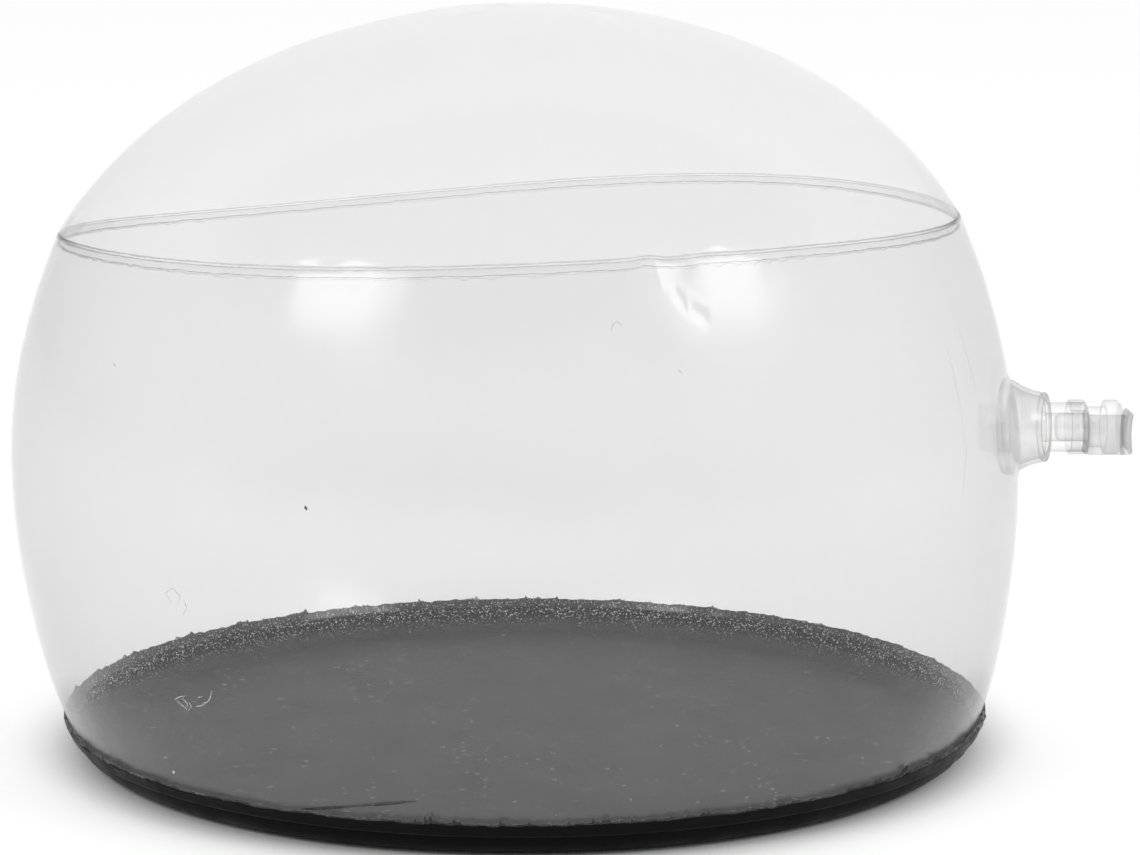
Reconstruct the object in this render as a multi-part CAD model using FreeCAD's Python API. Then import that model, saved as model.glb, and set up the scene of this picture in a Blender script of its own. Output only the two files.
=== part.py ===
"""Inflatable clear dome with a black base and a push-in air valve.

Three welded PVC panels hold the air: a domed top, a barrel-shaped wall and a dished base. Their edges are
turned into lips and fused face to face: inwards at the top seam, outwards at the base seam, which is the
closing weld. A soft valve sticks out of the wall. Its shoulder rolls inwards when the stem is pushed in, a
flap on the stem's inner end stops the air, and a stopper on a strap closes its outer end.

Millimetres. +Z is up along the dome's axis, the origin is the middle of the flat base, where it rests, and
the valve points along +X.
"""

import FreeCAD, Part
import math
import os

V = FreeCAD.Vector

# Film
CLEAR = 0.35            # thickness of the clear film
BLACK = 0.5             # thickness of the black base film
FOLD_GAP = 0.15         # air left between a panel and the lip folded back along it

# Wall: two half ellipses that share the belly, its widest ring
BELLY_R = 103.75
BELLY_Z = 56.0
WALL_LOW_B = 127.8      # vertical half axis below the belly
WALL_HIGH_B = 114.5     # vertical half axis above it
BASE_SEAM_Z = 5.2
TOP_SEAM_Z = 109.3

# Top panel: the cap of an ellipse
CAP_A = 100.2           # horizontal half axis
CAP_B = 73.0            # vertical half axis
CAP_TOP_Z = 152.8
POLE_R = 0.6            # flat spot at the very top

# Seams
TOP_LIP = 2.0           # how far the lips hang below the top seam, inside
BASE_LIP = 2.3          # how far the lips stand up from the base seam, outside
FLASH = 0.45            # height of the plastic squeezed out along a lip's edge

# Base: flat, with a rounded corner up to the seam
FLAT_R = 88.7           # radius of the flat that rests on the table
CORNER_W = 6.3
CORNER_H = 4.6

# Valve, along +X from the wall's outside
VALVE_Z = 64.8
HOLE_R = 10.2           # hole in the wall film
FLANGE_R = 14.5         # disc welded inside the film
FLANGE_T = 0.8
SHOULDER_R = 9.9        # outer radius where the shoulder leaves the flange
SOFT_T = 0.85           # wall of the soft mouldings
RIM_R = 7.3
RIM_X = 6.4             # where the shoulder meets the rim
RIM_T = 1.1             # thickness of the rim's front web
STEM_R = 5.2
STEM_END_X = 15.6
BORE_R = 3.0
THROAT_X = -6.0         # inner end of the stem, inside the dome
THROAT_R = 4.2          # wider bore of the stem behind the rim
RING_R = 5.75           # outer radius of the strap's ring
RING_X = 11.9
RING_PAD_Y = -6.1       # flat on the ring that the strap grows from
FLAP_R = 5.0
FLAP_T = 0.5
FLAP_GAP = 0.05
FLAP_BEAD_R = 0.28      # bead of the flap's living hinge
SHANK_R = 2.93          # stopper's shank, an easy fit in the bore
SHANK_X = 9.4
NECK_R = 4.3
HEAD_X = 19.3
HEAD_END_X = 22.7
HEAD_R = 5.7
HEAD_BEVEL = 0.7
STOP_GAP = 0.1          # air between the stopper's neck and the stem's end
STRAP_W = 8.4
STRAP_T = 1.0
STRAP_REACH = 4.2       # how far the strap's loop stands off the ring
STRAP_END_Y = -1.2      # the strap's end plate on the stopper's head stops here


def arc_r(z, half_width, half_height, centre_z):
    """Radius at height z of an ellipse about the dome's axis."""
    return half_width * math.sqrt(1.0 - ((z - centre_z) / half_height) ** 2)


BASE_SEAM_R = arc_r(BASE_SEAM_Z, BELLY_R, WALL_LOW_B, BELLY_Z)
TOP_SEAM_R = arc_r(TOP_SEAM_Z, BELLY_R, WALL_HIGH_B, BELLY_Z)
CAP_CENTRE_Z = CAP_TOP_Z - CAP_B
CAP_RADIUS_SCALE = TOP_SEAM_R / arc_r(TOP_SEAM_Z, CAP_A, CAP_B, CAP_CENTRE_Z)
VALVE_FACE_X = arc_r(VALVE_Z, BELLY_R, WALL_HIGH_B, BELLY_Z)


class Seam:
    """Local axes at a seam, in the plane of the profile: s runs along the wall, n square to it."""

    def __init__(self, r, z, slope, up, outward):
        length = math.hypot(slope, 1.0)
        rise = 1.0 if up else -1.0
        self.r = r
        self.z = z
        self.along = (rise * slope / length, rise / length)
        side = 1.0 if outward else -1.0
        self.normal = (side / length, -side * slope / length)

    def point(self, s, n):
        r = self.r + s * self.along[0] + n * self.normal[0]
        z = self.z + s * self.along[1] + n * self.normal[1]
        return V(r, 0, z)


def wall_slope(z, half_height):
    """dr/dz of the wall's outside at height z."""
    r = arc_r(z, BELLY_R, half_height, BELLY_Z)
    return -((BELLY_R / half_height) ** 2) * (z - BELLY_Z) / r


TOP_SEAM = Seam(TOP_SEAM_R, TOP_SEAM_Z, wall_slope(TOP_SEAM_Z, WALL_HIGH_B), up=False, outward=False)
BASE_SEAM = Seam(BASE_SEAM_R, BASE_SEAM_Z, wall_slope(BASE_SEAM_Z, WALL_LOW_B), up=True, outward=True)
TOP_IN = 2 * CLEAR + FOLD_GAP       # depth of the wall's inward fold at the top seam
BASE_OUT = FOLD_GAP + CLEAR         # reach of the wall's outward fold at the base seam


def ellipse_edge(half_width, half_height, centre_r, centre_z, start, end):
    """Arc of an upright ellipse in the XZ plane, from start to end, two points on it."""
    centre = V(centre_r, 0, centre_z)
    wide = centre + V(half_width, 0, 0)
    tall = centre + V(0, 0, half_height)
    curve = Part.Ellipse(wide, tall, centre) if half_width >= half_height else Part.Ellipse(tall, wide, centre)
    a = curve.parameter(start)
    b = curve.parameter(end)
    low, high = sorted((a, b))
    if high - low > math.pi:
        low, high = high, low + 2 * math.pi
    return Part.ArcOfEllipse(curve, low, high).toShape()


def on_ellipse(z, half_width, half_height, centre_r, centre_z):
    return V(centre_r + arc_r(z, half_width, half_height, centre_z), 0, z)


def polyline(points):
    return [Part.LineSegment(a, b).toShape() for a, b in zip(points, points[1:])]


def ring_solid(edges, base=V(0, 0, 0), axis=V(0, 0, 1)):
    """Turns the closed outline made of these edges about an axis into a solid."""
    wire = Part.Wire(Part.__sortEdges__(edges))
    solid = Part.Face(wire).revolve(base, axis, 360)
    return Part.makeSolid(solid.Shells[0]) if solid.ShapeType != "Solid" else solid


def wall_side(inset, half_height, start_z, end_z):
    """Outer (inset 0) or inner side of the wall between two heights on one side of the belly."""
    size = (BELLY_R - inset, half_height - inset, 0, BELLY_Z)
    return ellipse_edge(*size, on_ellipse(start_z, *size), on_ellipse(end_z, *size))


def along_x(x0, x1, radius):
    """Cylinder on the valve's axis; x counts from the wall's outside."""
    return Part.makeCylinder(radius, x1 - x0, V(VALVE_FACE_X + x0, 0, VALVE_Z), V(1, 0, 0))


def turned_x(points):
    """Solid turned about the valve's axis from (x, radius) points, closed by its last edge."""
    corners = [V(VALVE_FACE_X + x, 0, VALVE_Z + r) for x, r in points]
    edges = polyline(corners + corners[:1])
    return ring_solid(edges, V(VALVE_FACE_X, 0, VALVE_Z), V(1, 0, 0))


def wall_inner_ends():
    """Where the wall's inner side stops at each fold."""
    low = BASE_SEAM.point(0, -CLEAR)
    high = TOP_SEAM.point(CLEAR, CLEAR)
    low_size = (BELLY_R - CLEAR, WALL_LOW_B - CLEAR, 0, BELLY_Z)
    high_size = (BELLY_R - CLEAR, WALL_HIGH_B - CLEAR, 0, BELLY_Z)
    return on_ellipse(low.z, *low_size), on_ellipse(high.z, *high_size)


def wall_panel():
    inner_low, inner_high = wall_inner_ends()
    outer_low = BASE_SEAM.point(CLEAR, 0)
    outer_low = on_ellipse(outer_low.z, BELLY_R, WALL_LOW_B, 0, BELLY_Z)
    top_fold = [
        TOP_SEAM.point(0, 0),
        TOP_SEAM.point(0, TOP_IN),
        TOP_SEAM.point(TOP_LIP, TOP_IN),
        TOP_SEAM.point(TOP_LIP, CLEAR + FOLD_GAP),
        TOP_SEAM.point(CLEAR, CLEAR + FOLD_GAP),
        inner_high,
    ]
    base_fold = [
        inner_low,
        BASE_SEAM.point(0, BASE_OUT),
        BASE_SEAM.point(BASE_LIP, BASE_OUT),
        BASE_SEAM.point(BASE_LIP, FOLD_GAP),
        BASE_SEAM.point(CLEAR, FOLD_GAP),
        outer_low,
    ]
    edges = polyline(top_fold) + polyline(base_fold)
    edges.append(wall_side(0, WALL_LOW_B, outer_low.z, BELLY_Z))
    edges.append(wall_side(0, WALL_HIGH_B, BELLY_Z, TOP_SEAM_Z))
    edges.append(wall_side(CLEAR, WALL_HIGH_B, inner_high.z, BELLY_Z))
    edges.append(wall_side(CLEAR, WALL_LOW_B, BELLY_Z, inner_low.z))
    return ring_solid(edges).cut(along_x(-10, 10, HOLE_R))


def cap_size(inset):
    return CAP_A * CAP_RADIUS_SCALE - inset, CAP_B - inset, 0, CAP_CENTRE_Z


def cap_pole(inset):
    """Edge of the flat spot at the top, on the cap's outer or inner side."""
    half_width, half_height, _, centre_z = cap_size(inset)
    drop = math.sqrt(1.0 - (POLE_R / half_width) ** 2)
    return V(POLE_R, 0, centre_z + half_height * drop)


def top_panel():
    fold_top = TOP_SEAM.point(-CLEAR, TOP_IN)
    inner_end = on_ellipse(fold_top.z, *cap_size(CLEAR))
    outer_top = cap_pole(0)
    inner_top = cap_pole(CLEAR)
    seam = TOP_SEAM.point(0, 0)
    lip = [
        seam,
        TOP_SEAM.point(0, TOP_IN),
        TOP_SEAM.point(TOP_LIP, TOP_IN),
        TOP_SEAM.point(TOP_LIP, TOP_IN + CLEAR),
        TOP_SEAM.point(-CLEAR, TOP_IN + CLEAR),
        inner_end,
    ]
    pole = [inner_top, V(0, 0, inner_top.z), V(0, 0, outer_top.z), outer_top]
    edges = polyline(lip) + polyline(pole)
    edges.append(ellipse_edge(*cap_size(0), outer_top, seam))
    edges.append(ellipse_edge(*cap_size(CLEAR), inner_top, inner_end))
    return ring_solid(edges)


def base_panel():
    outer_corner = (CORNER_W, CORNER_H, FLAT_R, CORNER_H)
    inner_corner = (CORNER_W - BLACK, CORNER_H - BLACK, FLAT_R, CORNER_H)
    outer_end = V(FLAT_R + CORNER_W, 0, CORNER_H)
    inner_end = V(FLAT_R + CORNER_W - BLACK, 0, CORNER_H)
    inner_low, _ = wall_inner_ends()
    lip_out = BASE_OUT + BLACK
    outside = [
        outer_end,
        BASE_SEAM.point(-BLACK, lip_out),
        BASE_SEAM.point(BASE_LIP, lip_out),
        BASE_SEAM.point(BASE_LIP, BASE_OUT),
        BASE_SEAM.point(0, BASE_OUT),
        inner_low,
        inner_end,
    ]
    floor = [V(FLAT_R, 0, BLACK), V(0, 0, BLACK), V(0, 0, 0), V(FLAT_R, 0, 0)]
    edges = polyline(outside) + polyline(floor)
    edges.append(ellipse_edge(*outer_corner, V(FLAT_R, 0, 0), outer_end))
    edges.append(ellipse_edge(*inner_corner, V(FLAT_R, 0, BLACK), inner_end))
    return ring_solid(edges)


def flash_bead(seam, lip, first, last):
    """Plastic squeezed out along the edge of two fused lips, from n = first to n = last."""
    middle = (first + last) / 2
    crown = 0.7 * (last - first) / 2
    outline = [
        seam.point(lip, first),
        seam.point(lip + 0.7 * FLASH, middle - crown),
        seam.point(lip + FLASH, middle),
        seam.point(lip + 0.7 * FLASH, middle + crown),
        seam.point(lip, last),
    ]
    return ring_solid(polyline(outline + outline[:1]))


def top_seam_flash():
    return flash_bead(TOP_SEAM, TOP_LIP, CLEAR + FOLD_GAP, TOP_IN + CLEAR)


def base_seam_flash():
    return flash_bead(BASE_SEAM, BASE_LIP, FOLD_GAP, BASE_OUT + BLACK)


def inside_wall(depth):
    """Solid filled out to the wall film's inner side, set in by a depth."""
    inset = CLEAR + depth
    low_z = VALVE_Z - 2 * FLANGE_R
    high_z = VALVE_Z + 2 * FLANGE_R
    low_r = arc_r(low_z, BELLY_R - inset, WALL_LOW_B - inset, BELLY_Z)
    high_r = arc_r(high_z, BELLY_R - inset, WALL_HIGH_B - inset, BELLY_Z)
    edges = polyline([V(high_r, 0, high_z), V(0, 0, high_z), V(0, 0, low_z), V(low_r, 0, low_z)])
    edges.append(wall_side(inset, WALL_LOW_B, low_z, BELLY_Z))
    edges.append(wall_side(inset, WALL_HIGH_B, BELLY_Z, high_z))
    return ring_solid(edges)


def valve_flange():
    """Disc that lies against the film's inside, with the hole that the shoulder fills."""
    skin = inside_wall(0).cut(inside_wall(FLANGE_T))
    return skin.common(along_x(-8, 2, FLANGE_R)).cut(along_x(-8, 2, SHOULDER_R))


def valve_weld_bead():
    """Bead in the film's hole, between its cut edge and the shoulder."""
    skin = inside_wall(-CLEAR).cut(inside_wall(0))
    return skin.common(along_x(-8, 2, HOLE_R)).cut(along_x(-8, 2, SHOULDER_R))


def valve_shoulder():
    """Soft bell between flange and rim, which rolls inside out when the stem is pushed in."""
    foot_x = -CLEAR - FLANGE_T - 0.6
    outer = [(foot_x, SHOULDER_R), (0.4, SHOULDER_R)]
    flare = [(1.5, 9.05), (2.9, 8.35), (4.5, 7.8), (RIM_X, RIM_R + 0.05)]
    inner = [(x - 0.25, r - SOFT_T) for x, r in reversed(flare)]
    inner[0] = (RIM_X, RIM_R + 0.05 - SOFT_T)
    foot = [(0.2, SHOULDER_R - SOFT_T), (foot_x, SHOULDER_R - SOFT_T)]
    return turned_x(outer + flare + inner + foot)


def valve_stem():
    """Mouth tube, rim with its front web, and throat that reaches inside."""
    front_x = RIM_X + RIM_T
    return turned_x([
        (RIM_X, RIM_R),
        (front_x - 0.5, RIM_R),
        (front_x - 0.15, RIM_R - 0.15),
        (front_x, RIM_R - 0.5),
        (front_x, RIM_R - 1.2),
        (front_x - 0.3, RIM_R - 1.5),
        (front_x - 0.3, STEM_R + 0.25),
        (front_x, STEM_R),
        (STEM_END_X - 0.3, STEM_R),
        (STEM_END_X, STEM_R - 0.3),
        (STEM_END_X, BORE_R + 0.3),
        (STEM_END_X - 0.3, BORE_R),
        (RIM_X, BORE_R),
        (RIM_X - 1.0, THROAT_R),
        (THROAT_X, THROAT_R),
        (THROAT_X, STEM_R - 0.3),
        (THROAT_X + 0.3, STEM_R),
        (RIM_X, STEM_R),
    ])


def strap_ring():
    """Ring round the stem's mouth end, with a flat that the strap grows from."""
    ring = turned_x([
        (RING_X, STEM_R),
        (RING_X, RING_R - 0.2),
        (RING_X + 0.2, RING_R),
        (STEM_END_X - 0.6, RING_R),
        (STEM_END_X - 0.4, RING_R - 0.2),
        (STEM_END_X - 0.4, STEM_R),
    ])
    pad_len = STEM_END_X - 0.4 - RING_X
    corner = V(VALVE_FACE_X + RING_X, RING_PAD_Y, VALVE_Z - STRAP_W / 2)
    pad = Part.makeBox(pad_len, -RING_PAD_Y, STRAP_W, corner)
    return ring.fuse(pad.cut(along_x(RING_X - 1, STEM_END_X + 1, STEM_R))).removeSplitter()


def strap_outline(offset):
    """One side of the strap's loop, seen from above, as an arc and the way to its end plate."""
    start_x = VALVE_FACE_X + RING_X + 2.3
    end_x = VALVE_FACE_X + HEAD_END_X
    left = V(start_x + offset, RING_PAD_Y, 0)
    right = V(end_x + STRAP_T - offset, RING_PAD_Y, 0)
    tip = V((left.x + right.x) / 2, RING_PAD_Y - STRAP_REACH + offset, 0)
    return left, tip, right


def stopper_strap():
    """Wide strap that loops out from the ring and back to the stopper's outer face."""
    outer = strap_outline(0)
    inner = strap_outline(STRAP_T)
    end_x = VALVE_FACE_X + HEAD_END_X
    plate_out = V(end_x + STRAP_T, STRAP_END_Y, 0)
    plate_in = V(end_x, STRAP_END_Y, 0)
    edges = [Part.Arc(*outer).toShape(), Part.Arc(*inner).toShape()]
    edges += polyline([outer[2], plate_out, plate_in, inner[2]])
    edges += polyline([inner[0], outer[0]])
    face = Part.Face(Part.Wire(Part.__sortEdges__(edges)))
    face.translate(V(0, 0, VALVE_Z - STRAP_W / 2))
    return face.extrude(V(0, 0, STRAP_W))


def stopper():
    """Shank in the bore, neck, and a head to pull on."""
    neck_x = STEM_END_X + STOP_GAP
    return turned_x([
        (SHANK_X, 0),
        (SHANK_X, SHANK_R - 0.5),
        (SHANK_X + 0.8, SHANK_R),
        (neck_x, SHANK_R),
        (neck_x, NECK_R - 0.2),
        (neck_x + 0.2, NECK_R),
        (HEAD_X, NECK_R),
        (HEAD_X, HEAD_R - 0.2),
        (HEAD_X + 0.2, HEAD_R),
        (HEAD_END_X - HEAD_BEVEL, HEAD_R),
        (HEAD_END_X, HEAD_R - HEAD_BEVEL),
        (HEAD_END_X, 0),
    ])


def check_flap():
    """Thin disc over the throat's inner end, hanging from a living hinge at its top."""
    back_x = THROAT_X - FLAP_GAP - FLAP_T
    disc = along_x(back_x, back_x + FLAP_T, FLAP_R)
    hinge_x = VALVE_FACE_X + back_x + FLAP_T / 2
    width = 2.4
    bead = Part.makeCylinder(FLAP_BEAD_R, width, V(hinge_x, -width / 2, VALVE_Z + FLAP_R), V(0, 1, 0))
    return disc.fuse(bead).removeSplitter()


PARTS = [
    top_panel,
    wall_panel,
    base_panel,
    top_seam_flash,
    base_seam_flash,
    valve_flange,
    valve_weld_bead,
    valve_shoulder,
    valve_stem,
    strap_ring,
    stopper_strap,
    stopper,
    check_flap,
]

os.makedirs("parts", exist_ok=True)
for make in PARTS:
    shape = make()
    solids = shape.Solids
    whole = solids[0] if len(solids) == 1 else Part.makeCompound(solids)
    whole.exportStep(f"parts/{make.__name__}.step")
    print(make.__name__, len(solids), "solids", whole.isValid(), round(whole.Volume, 2), "mm3")
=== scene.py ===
import math

import bpy
import numpy as np
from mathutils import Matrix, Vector

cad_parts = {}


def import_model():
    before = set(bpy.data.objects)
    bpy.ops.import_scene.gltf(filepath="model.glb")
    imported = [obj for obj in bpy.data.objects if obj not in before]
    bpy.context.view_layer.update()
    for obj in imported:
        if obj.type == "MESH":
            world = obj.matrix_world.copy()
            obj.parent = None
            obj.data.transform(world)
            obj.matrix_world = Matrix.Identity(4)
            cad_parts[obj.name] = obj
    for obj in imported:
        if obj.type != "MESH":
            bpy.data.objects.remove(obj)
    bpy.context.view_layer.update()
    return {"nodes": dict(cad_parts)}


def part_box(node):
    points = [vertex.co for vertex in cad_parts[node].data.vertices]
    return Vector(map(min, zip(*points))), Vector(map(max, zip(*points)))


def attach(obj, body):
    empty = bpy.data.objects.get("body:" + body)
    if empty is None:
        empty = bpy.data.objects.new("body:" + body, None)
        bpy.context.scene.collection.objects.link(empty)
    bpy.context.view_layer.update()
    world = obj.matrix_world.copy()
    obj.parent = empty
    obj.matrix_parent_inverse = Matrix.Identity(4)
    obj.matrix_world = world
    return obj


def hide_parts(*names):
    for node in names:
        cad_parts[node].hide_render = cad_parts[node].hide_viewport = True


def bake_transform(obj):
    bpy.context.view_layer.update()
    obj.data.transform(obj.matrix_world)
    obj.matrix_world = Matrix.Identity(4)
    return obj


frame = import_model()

# The looks of a blown-up clear dome: film panels with rolled and melted seams, a black base and a soft air
# valve. Geometry is worked out in millimetres and turned into metres when a mesh is made. +X points out along
# the valve. Angles round the dome are azimuths from +X towards +Y, in degrees where a name says so, otherwise
# in radians. Materials are built from noise and simple formulas, in metres.

MM = 0.001
AROUND = 590            # steps round the dome for the film panels
FINE_AROUND = 2400      # steps round the dome for the ragged edges
VALVE_STEPS = 128       # steps round the valve's turned pieces
STRAP_STEPS = 48        # steps round the strap's section
HOLE_STEPS = 96         # steps round the hole for the valve

# ---------------------------------------------------------------- the dome's shape


def box_in_mm(name):
    """Lowest and highest corner of a CAD node."""
    return [tuple(c / MM for c in corner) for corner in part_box(name)]


BELLY_R = box_in_mm("wall_panel")[1][1]
CAP_TOP_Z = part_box("top_panel")[1].z / MM
BELLY_Z = 56.0          # height of the widest ring
WALL_LOW_B = 127.8      # half height of the wall's ellipse below the belly
WALL_HIGH_B = 114.5     # and of the one above it
CAP_A = 100.2           # half width and half height of the cap's ellipse
CAP_B = 73.0
CAP_CENTRE_Z = CAP_TOP_Z - CAP_B
BASE_SEAM_Z = 5.2
CLEAR = 0.35            # thickness of the clear film
BLACK = 0.5             # thickness of the black film
FLAT_R = 88.7           # the base is flat up to here, then turns up round its corner
CORNER_W = 6.3
CORNER_H = 4.6
TOP_LIP = 1.9           # mean width of the lips at each seam
BASE_LIP = 2.3
TUCK = 0.0085           # share of its radius that the foot is drawn in
TUCK_REACH = 12.0       # height over which it fades

# ---------------------------------------------------------------- the valve's place

FLANGE_BOX = box_in_mm("valve_flange")
VALVE_Z = (FLANGE_BOX[0][2] + FLANGE_BOX[1][2]) / 2
HOLE_R = 10.2
TENT_R = 13.5           # the wall starts to rise towards the valve here
TENT_RISE = 0.95


def wall_r(z):
    """Outer radius of the wall at height z, on the two half ellipses that share the belly."""
    z = np.asarray(z, float)
    half = np.where(z < BELLY_Z, WALL_LOW_B, WALL_HIGH_B)
    return BELLY_R * np.sqrt(1 - ((z - BELLY_Z) / half) ** 2)


def cap_r(z):
    """Outer radius of the domed cap at height z."""
    return CAP_A * np.sqrt(np.clip(1 - ((z - CAP_CENTRE_Z) / CAP_B) ** 2, 0, 1))


def wall_slope(z):
    """dr/dz of the wall's outside."""
    half = np.where(np.asarray(z) < BELLY_Z, WALL_LOW_B, WALL_HIGH_B)
    return -((BELLY_R / half) ** 2) * (z - BELLY_Z) / wall_r(z)


VALVE_FACE_X = float(wall_r(VALVE_Z))


def bump(a, centre_deg, width_deg):
    """Smooth hump of height 1 round an azimuth."""
    off = (np.degrees(a) - centre_deg + 180) % 360 - 180
    return np.exp(-((off / width_deg) ** 2))


def top_seam_z(a):
    """The hand-fed top seam wanders up and down, and has a small kink beside the dent."""
    wander = 2.9 * np.cos(a) - 1.7 * np.sin(a) + 1.13 * np.sin(2 * a) - 0.86 * np.cos(3 * a)
    kink = 0.3 * bump(a, -74.6, 1.6) - 0.12 * bump(a, -71.5, 1.8) + 0.1 * bump(a, -67.5, 1.6)
    return 108.75 + wander + kink


def lean(z):
    """Sideways drift of the soft body: base and crown sit a little towards the valve."""
    low = 2.0 * np.clip((VALVE_Z - z) / 60, 0, 1) ** 1.5
    high = 2.6 * np.clip((z - 108) / 45, 0, 1) ** 1.3
    return low + high - 0.35 * np.exp(-(((z - 95) / 22) ** 2))


def ripple(a, z):
    """Slow waves in the blown-up film, a few tenths of a millimetre high."""
    waves = 0.16 * np.sin(5 * a + 0.05 * z + 0.4) + 0.1 * np.sin(9 * a - 0.07 * z + 2.1)
    waves += 0.07 * np.sin(14 * a + 0.11 * z + 4.0) + 0.05 * np.sin(23 * a - 0.16 * z + 1.2)
    return waves


def seam_pucker(a, below):
    """Short puckers that fan out from a seam and die away with the distance from it."""
    fan = np.sin(41 * a + 1.3 * np.sin(5 * a)) + 0.7 * np.sin(67 * a + 2.0 * np.sin(7 * a))
    return 0.07 * fan * np.exp(-below / 4.5)


def line_dip(a, z, start, end, width):
    """Crease along a line between two (azimuth in degrees, height) points: 1 on it, fading over a width."""
    reach = BELLY_R * np.radians(1)
    off = (np.degrees(a) - start[0] + 180) % 360 - 180
    along = np.array([(end[0] - start[0]) * reach, end[1] - start[1]])
    length = np.hypot(*along)
    px, pz = off * reach, z - start[1]
    t = np.clip((px * along[0] + pz * along[1]) / length**2, 0, 1)
    gap = np.hypot(px - t * along[0], pz - t * along[1])
    taper = 1 - (2 * t - 1) ** 4
    return taper * np.exp(-((gap / width) ** 2))


CREASES = [  # start, end, width, depth: the small fold beside the top seam, and folds near the valve
    ((-72.3, 105.2), (-67.7, 104.1), 0.6, 0.13),
    ((-72.0, 105.0), (-70.5, 102.4), 0.6, 0.26),
    ((-70.5, 102.4), (-68.1, 99.8), 0.7, 0.22),
    ((-73.9, 110.0), (-73.0, 105.5), 0.7, -0.07),
    ((22.2, 79.0), (18.4, 58.0), 0.8, 0.12),
    ((18.4, 58.0), (18.8, 40.0), 0.8, 0.1),
    ((-12.0, 60.0), (-13.0, 42.0), 0.7, 0.08),
    ((-33.1, 91.9), (-32.4, 69.8), 0.7, 0.07),
    ((-32.4, 69.8), (-34.6, 58.3), 0.7, 0.07),
]


def wall_dents(a, z):
    """The dent beside the top seam and the small creases, as a move along the radius."""
    dent = 0.22 * bump(a, -71.0, 2.2) * np.exp(-(((z - 108.6) / 2.6) ** 2))
    dent = dent - 0.1 * bump(a, -67.0, 2.2) * np.exp(-(((z - 103) / 4) ** 2))
    for start, end, width, depth in CREASES:
        dent = dent + depth * line_dip(a, z, start, end, width)
    return -dent


def valve_tent(a, z):
    """The wall is drawn out into a low tent where the valve is welded to it."""
    x = BELLY_R * np.cos(a)
    gap = np.hypot(BELLY_R * np.sin(a), z - VALVE_Z)
    rise = np.clip((TENT_R - gap) / (TENT_R - HOLE_R), 0, 1)
    return np.where(x > 0, TENT_RISE * rise * rise * (3 - 2 * rise), 0)


# ---------------------------------------------------------------- materials


def new_material(name):
    material = bpy.data.materials.new(name)
    material.use_nodes = True
    tree = material.node_tree
    tree.nodes.clear()
    return material, tree


def node(tree, kind, inputs=None, **settings):
    made = tree.nodes.new(kind)
    for key, value in settings.items():
        setattr(made, key, value)
    for key, value in (inputs or {}).items():
        if hasattr(value, "is_output"):
            tree.links.new(value, made.inputs[key])
        else:
            made.inputs[key].default_value = value
    return made


def grey(level):
    return (level, level, level, 1)


def map_range(tree, value, start, end, low, high):
    """low where value is start, high where it is end, and in a straight line between, held at both ends."""
    return node(tree, "ShaderNodeMapRange", {0: value, 1: start, 2: end, 3: low, 4: high}).outputs[0]


def mix_colour(tree, share, first, second):
    inputs = {0: share, 6: first, 7: second}
    return node(tree, "ShaderNodeMix", inputs, data_type="RGBA").outputs[2]


def mix_shader(tree, share, first, second):
    return node(tree, "ShaderNodeMixShader", {0: share, 1: first, 2: second}).outputs[0]


def bump_normal(tree, height, strength, distance):
    inputs = {"Height": height, "Strength": strength, "Distance": distance}
    return node(tree, "ShaderNodeBump", inputs).outputs[0]


def transparent(tree, colour):
    return node(tree, "ShaderNodeBsdfTransparent", {"Color": colour}).outputs[0]


def diffuse(tree, colour):
    return node(tree, "ShaderNodeBsdfDiffuse", {"Color": colour}).outputs[0]


def mirror(tree, roughness, normal):
    inputs = {"Color": grey(1), "Roughness": roughness, "Normal": normal}
    return node(tree, "ShaderNodeBsdfAnisotropic", inputs).outputs[0]


def axis_part(tree, vector, axis):
    return node(tree, "ShaderNodeSeparateXYZ", {"Vector": vector}).outputs[axis]


def reflectance(tree, facing, straight, grazing):
    """How much the coat reflects: little straight on, much more where the surface is seen edge on."""
    rise = math_node(tree, "MULTIPLY", math_node(tree, "POWER", facing, 5.0), grazing)
    return math_node(tree, "ADD", rise, straight)


def math_node(tree, operation, a, b, clamp=False):
    return node(tree, "ShaderNodeMath", {0: a, 1: b}, operation=operation, use_clamp=clamp).outputs[0]


def noise_node(tree, scale, detail=2.0, roughness=0.5, vector=None):
    inputs = {"Scale": scale, "Detail": detail, "Roughness": roughness}
    if vector is not None:
        inputs["Vector"] = vector
    return node(tree, "ShaderNodeTexNoise", inputs).outputs["Fac"]


def position(tree):
    return node(tree, "ShaderNodeTexCoord").outputs["Object"]


def output(tree, shader):
    node(tree, "ShaderNodeOutputMaterial", {"Surface": shader})


def film_material(name, tint, edge_tint, haze, scratch, gloss=0.03, power=3.0):
    """Clear film: a see-through grey tint, darker edge on, and darker low down as painted shade, with a
    mirror coat and haze.
    """
    material, tree = new_material(name)
    where = position(tree)
    slow = noise_node(tree, 45.0, 1.0, 0.5, where)
    normal = bump_normal(tree, slow, 0.3, 0.0008)
    facing = node(tree, "ShaderNodeLayerWeight", {"Blend": 0.5, "Normal": normal}).outputs["Facing"]
    edge = math_node(tree, "POWER", facing, power)
    # Painted shade: the tint grows darker towards the bottom of the dome.
    low = map_range(tree, axis_part(tree, where, "Z"), 0.09, 0.035, 0.0, 0.09)
    edge = math_node(tree, "ADD", edge, low)
    clear = transparent(tree, mix_colour(tree, edge, grey(tint), grey(edge_tint)))
    coat = reflectance(tree, facing, gloss, gloss * 20)
    glossy = mix_shader(tree, coat, clear, mirror(tree, 0.2, normal))
    streaks = node(tree, "ShaderNodeMapping", {"Vector": where, "Scale": (1.0, 1.0, 6.0)}).outputs[0]
    marks = map_range(tree, noise_node(tree, 260.0, 6.0, 0.75, streaks), 0.62, 0.85, haze, scratch * 0.6)
    output(tree, mix_shader(tree, marks, glossy, diffuse(tree, grey(0.9))))
    return material


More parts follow.
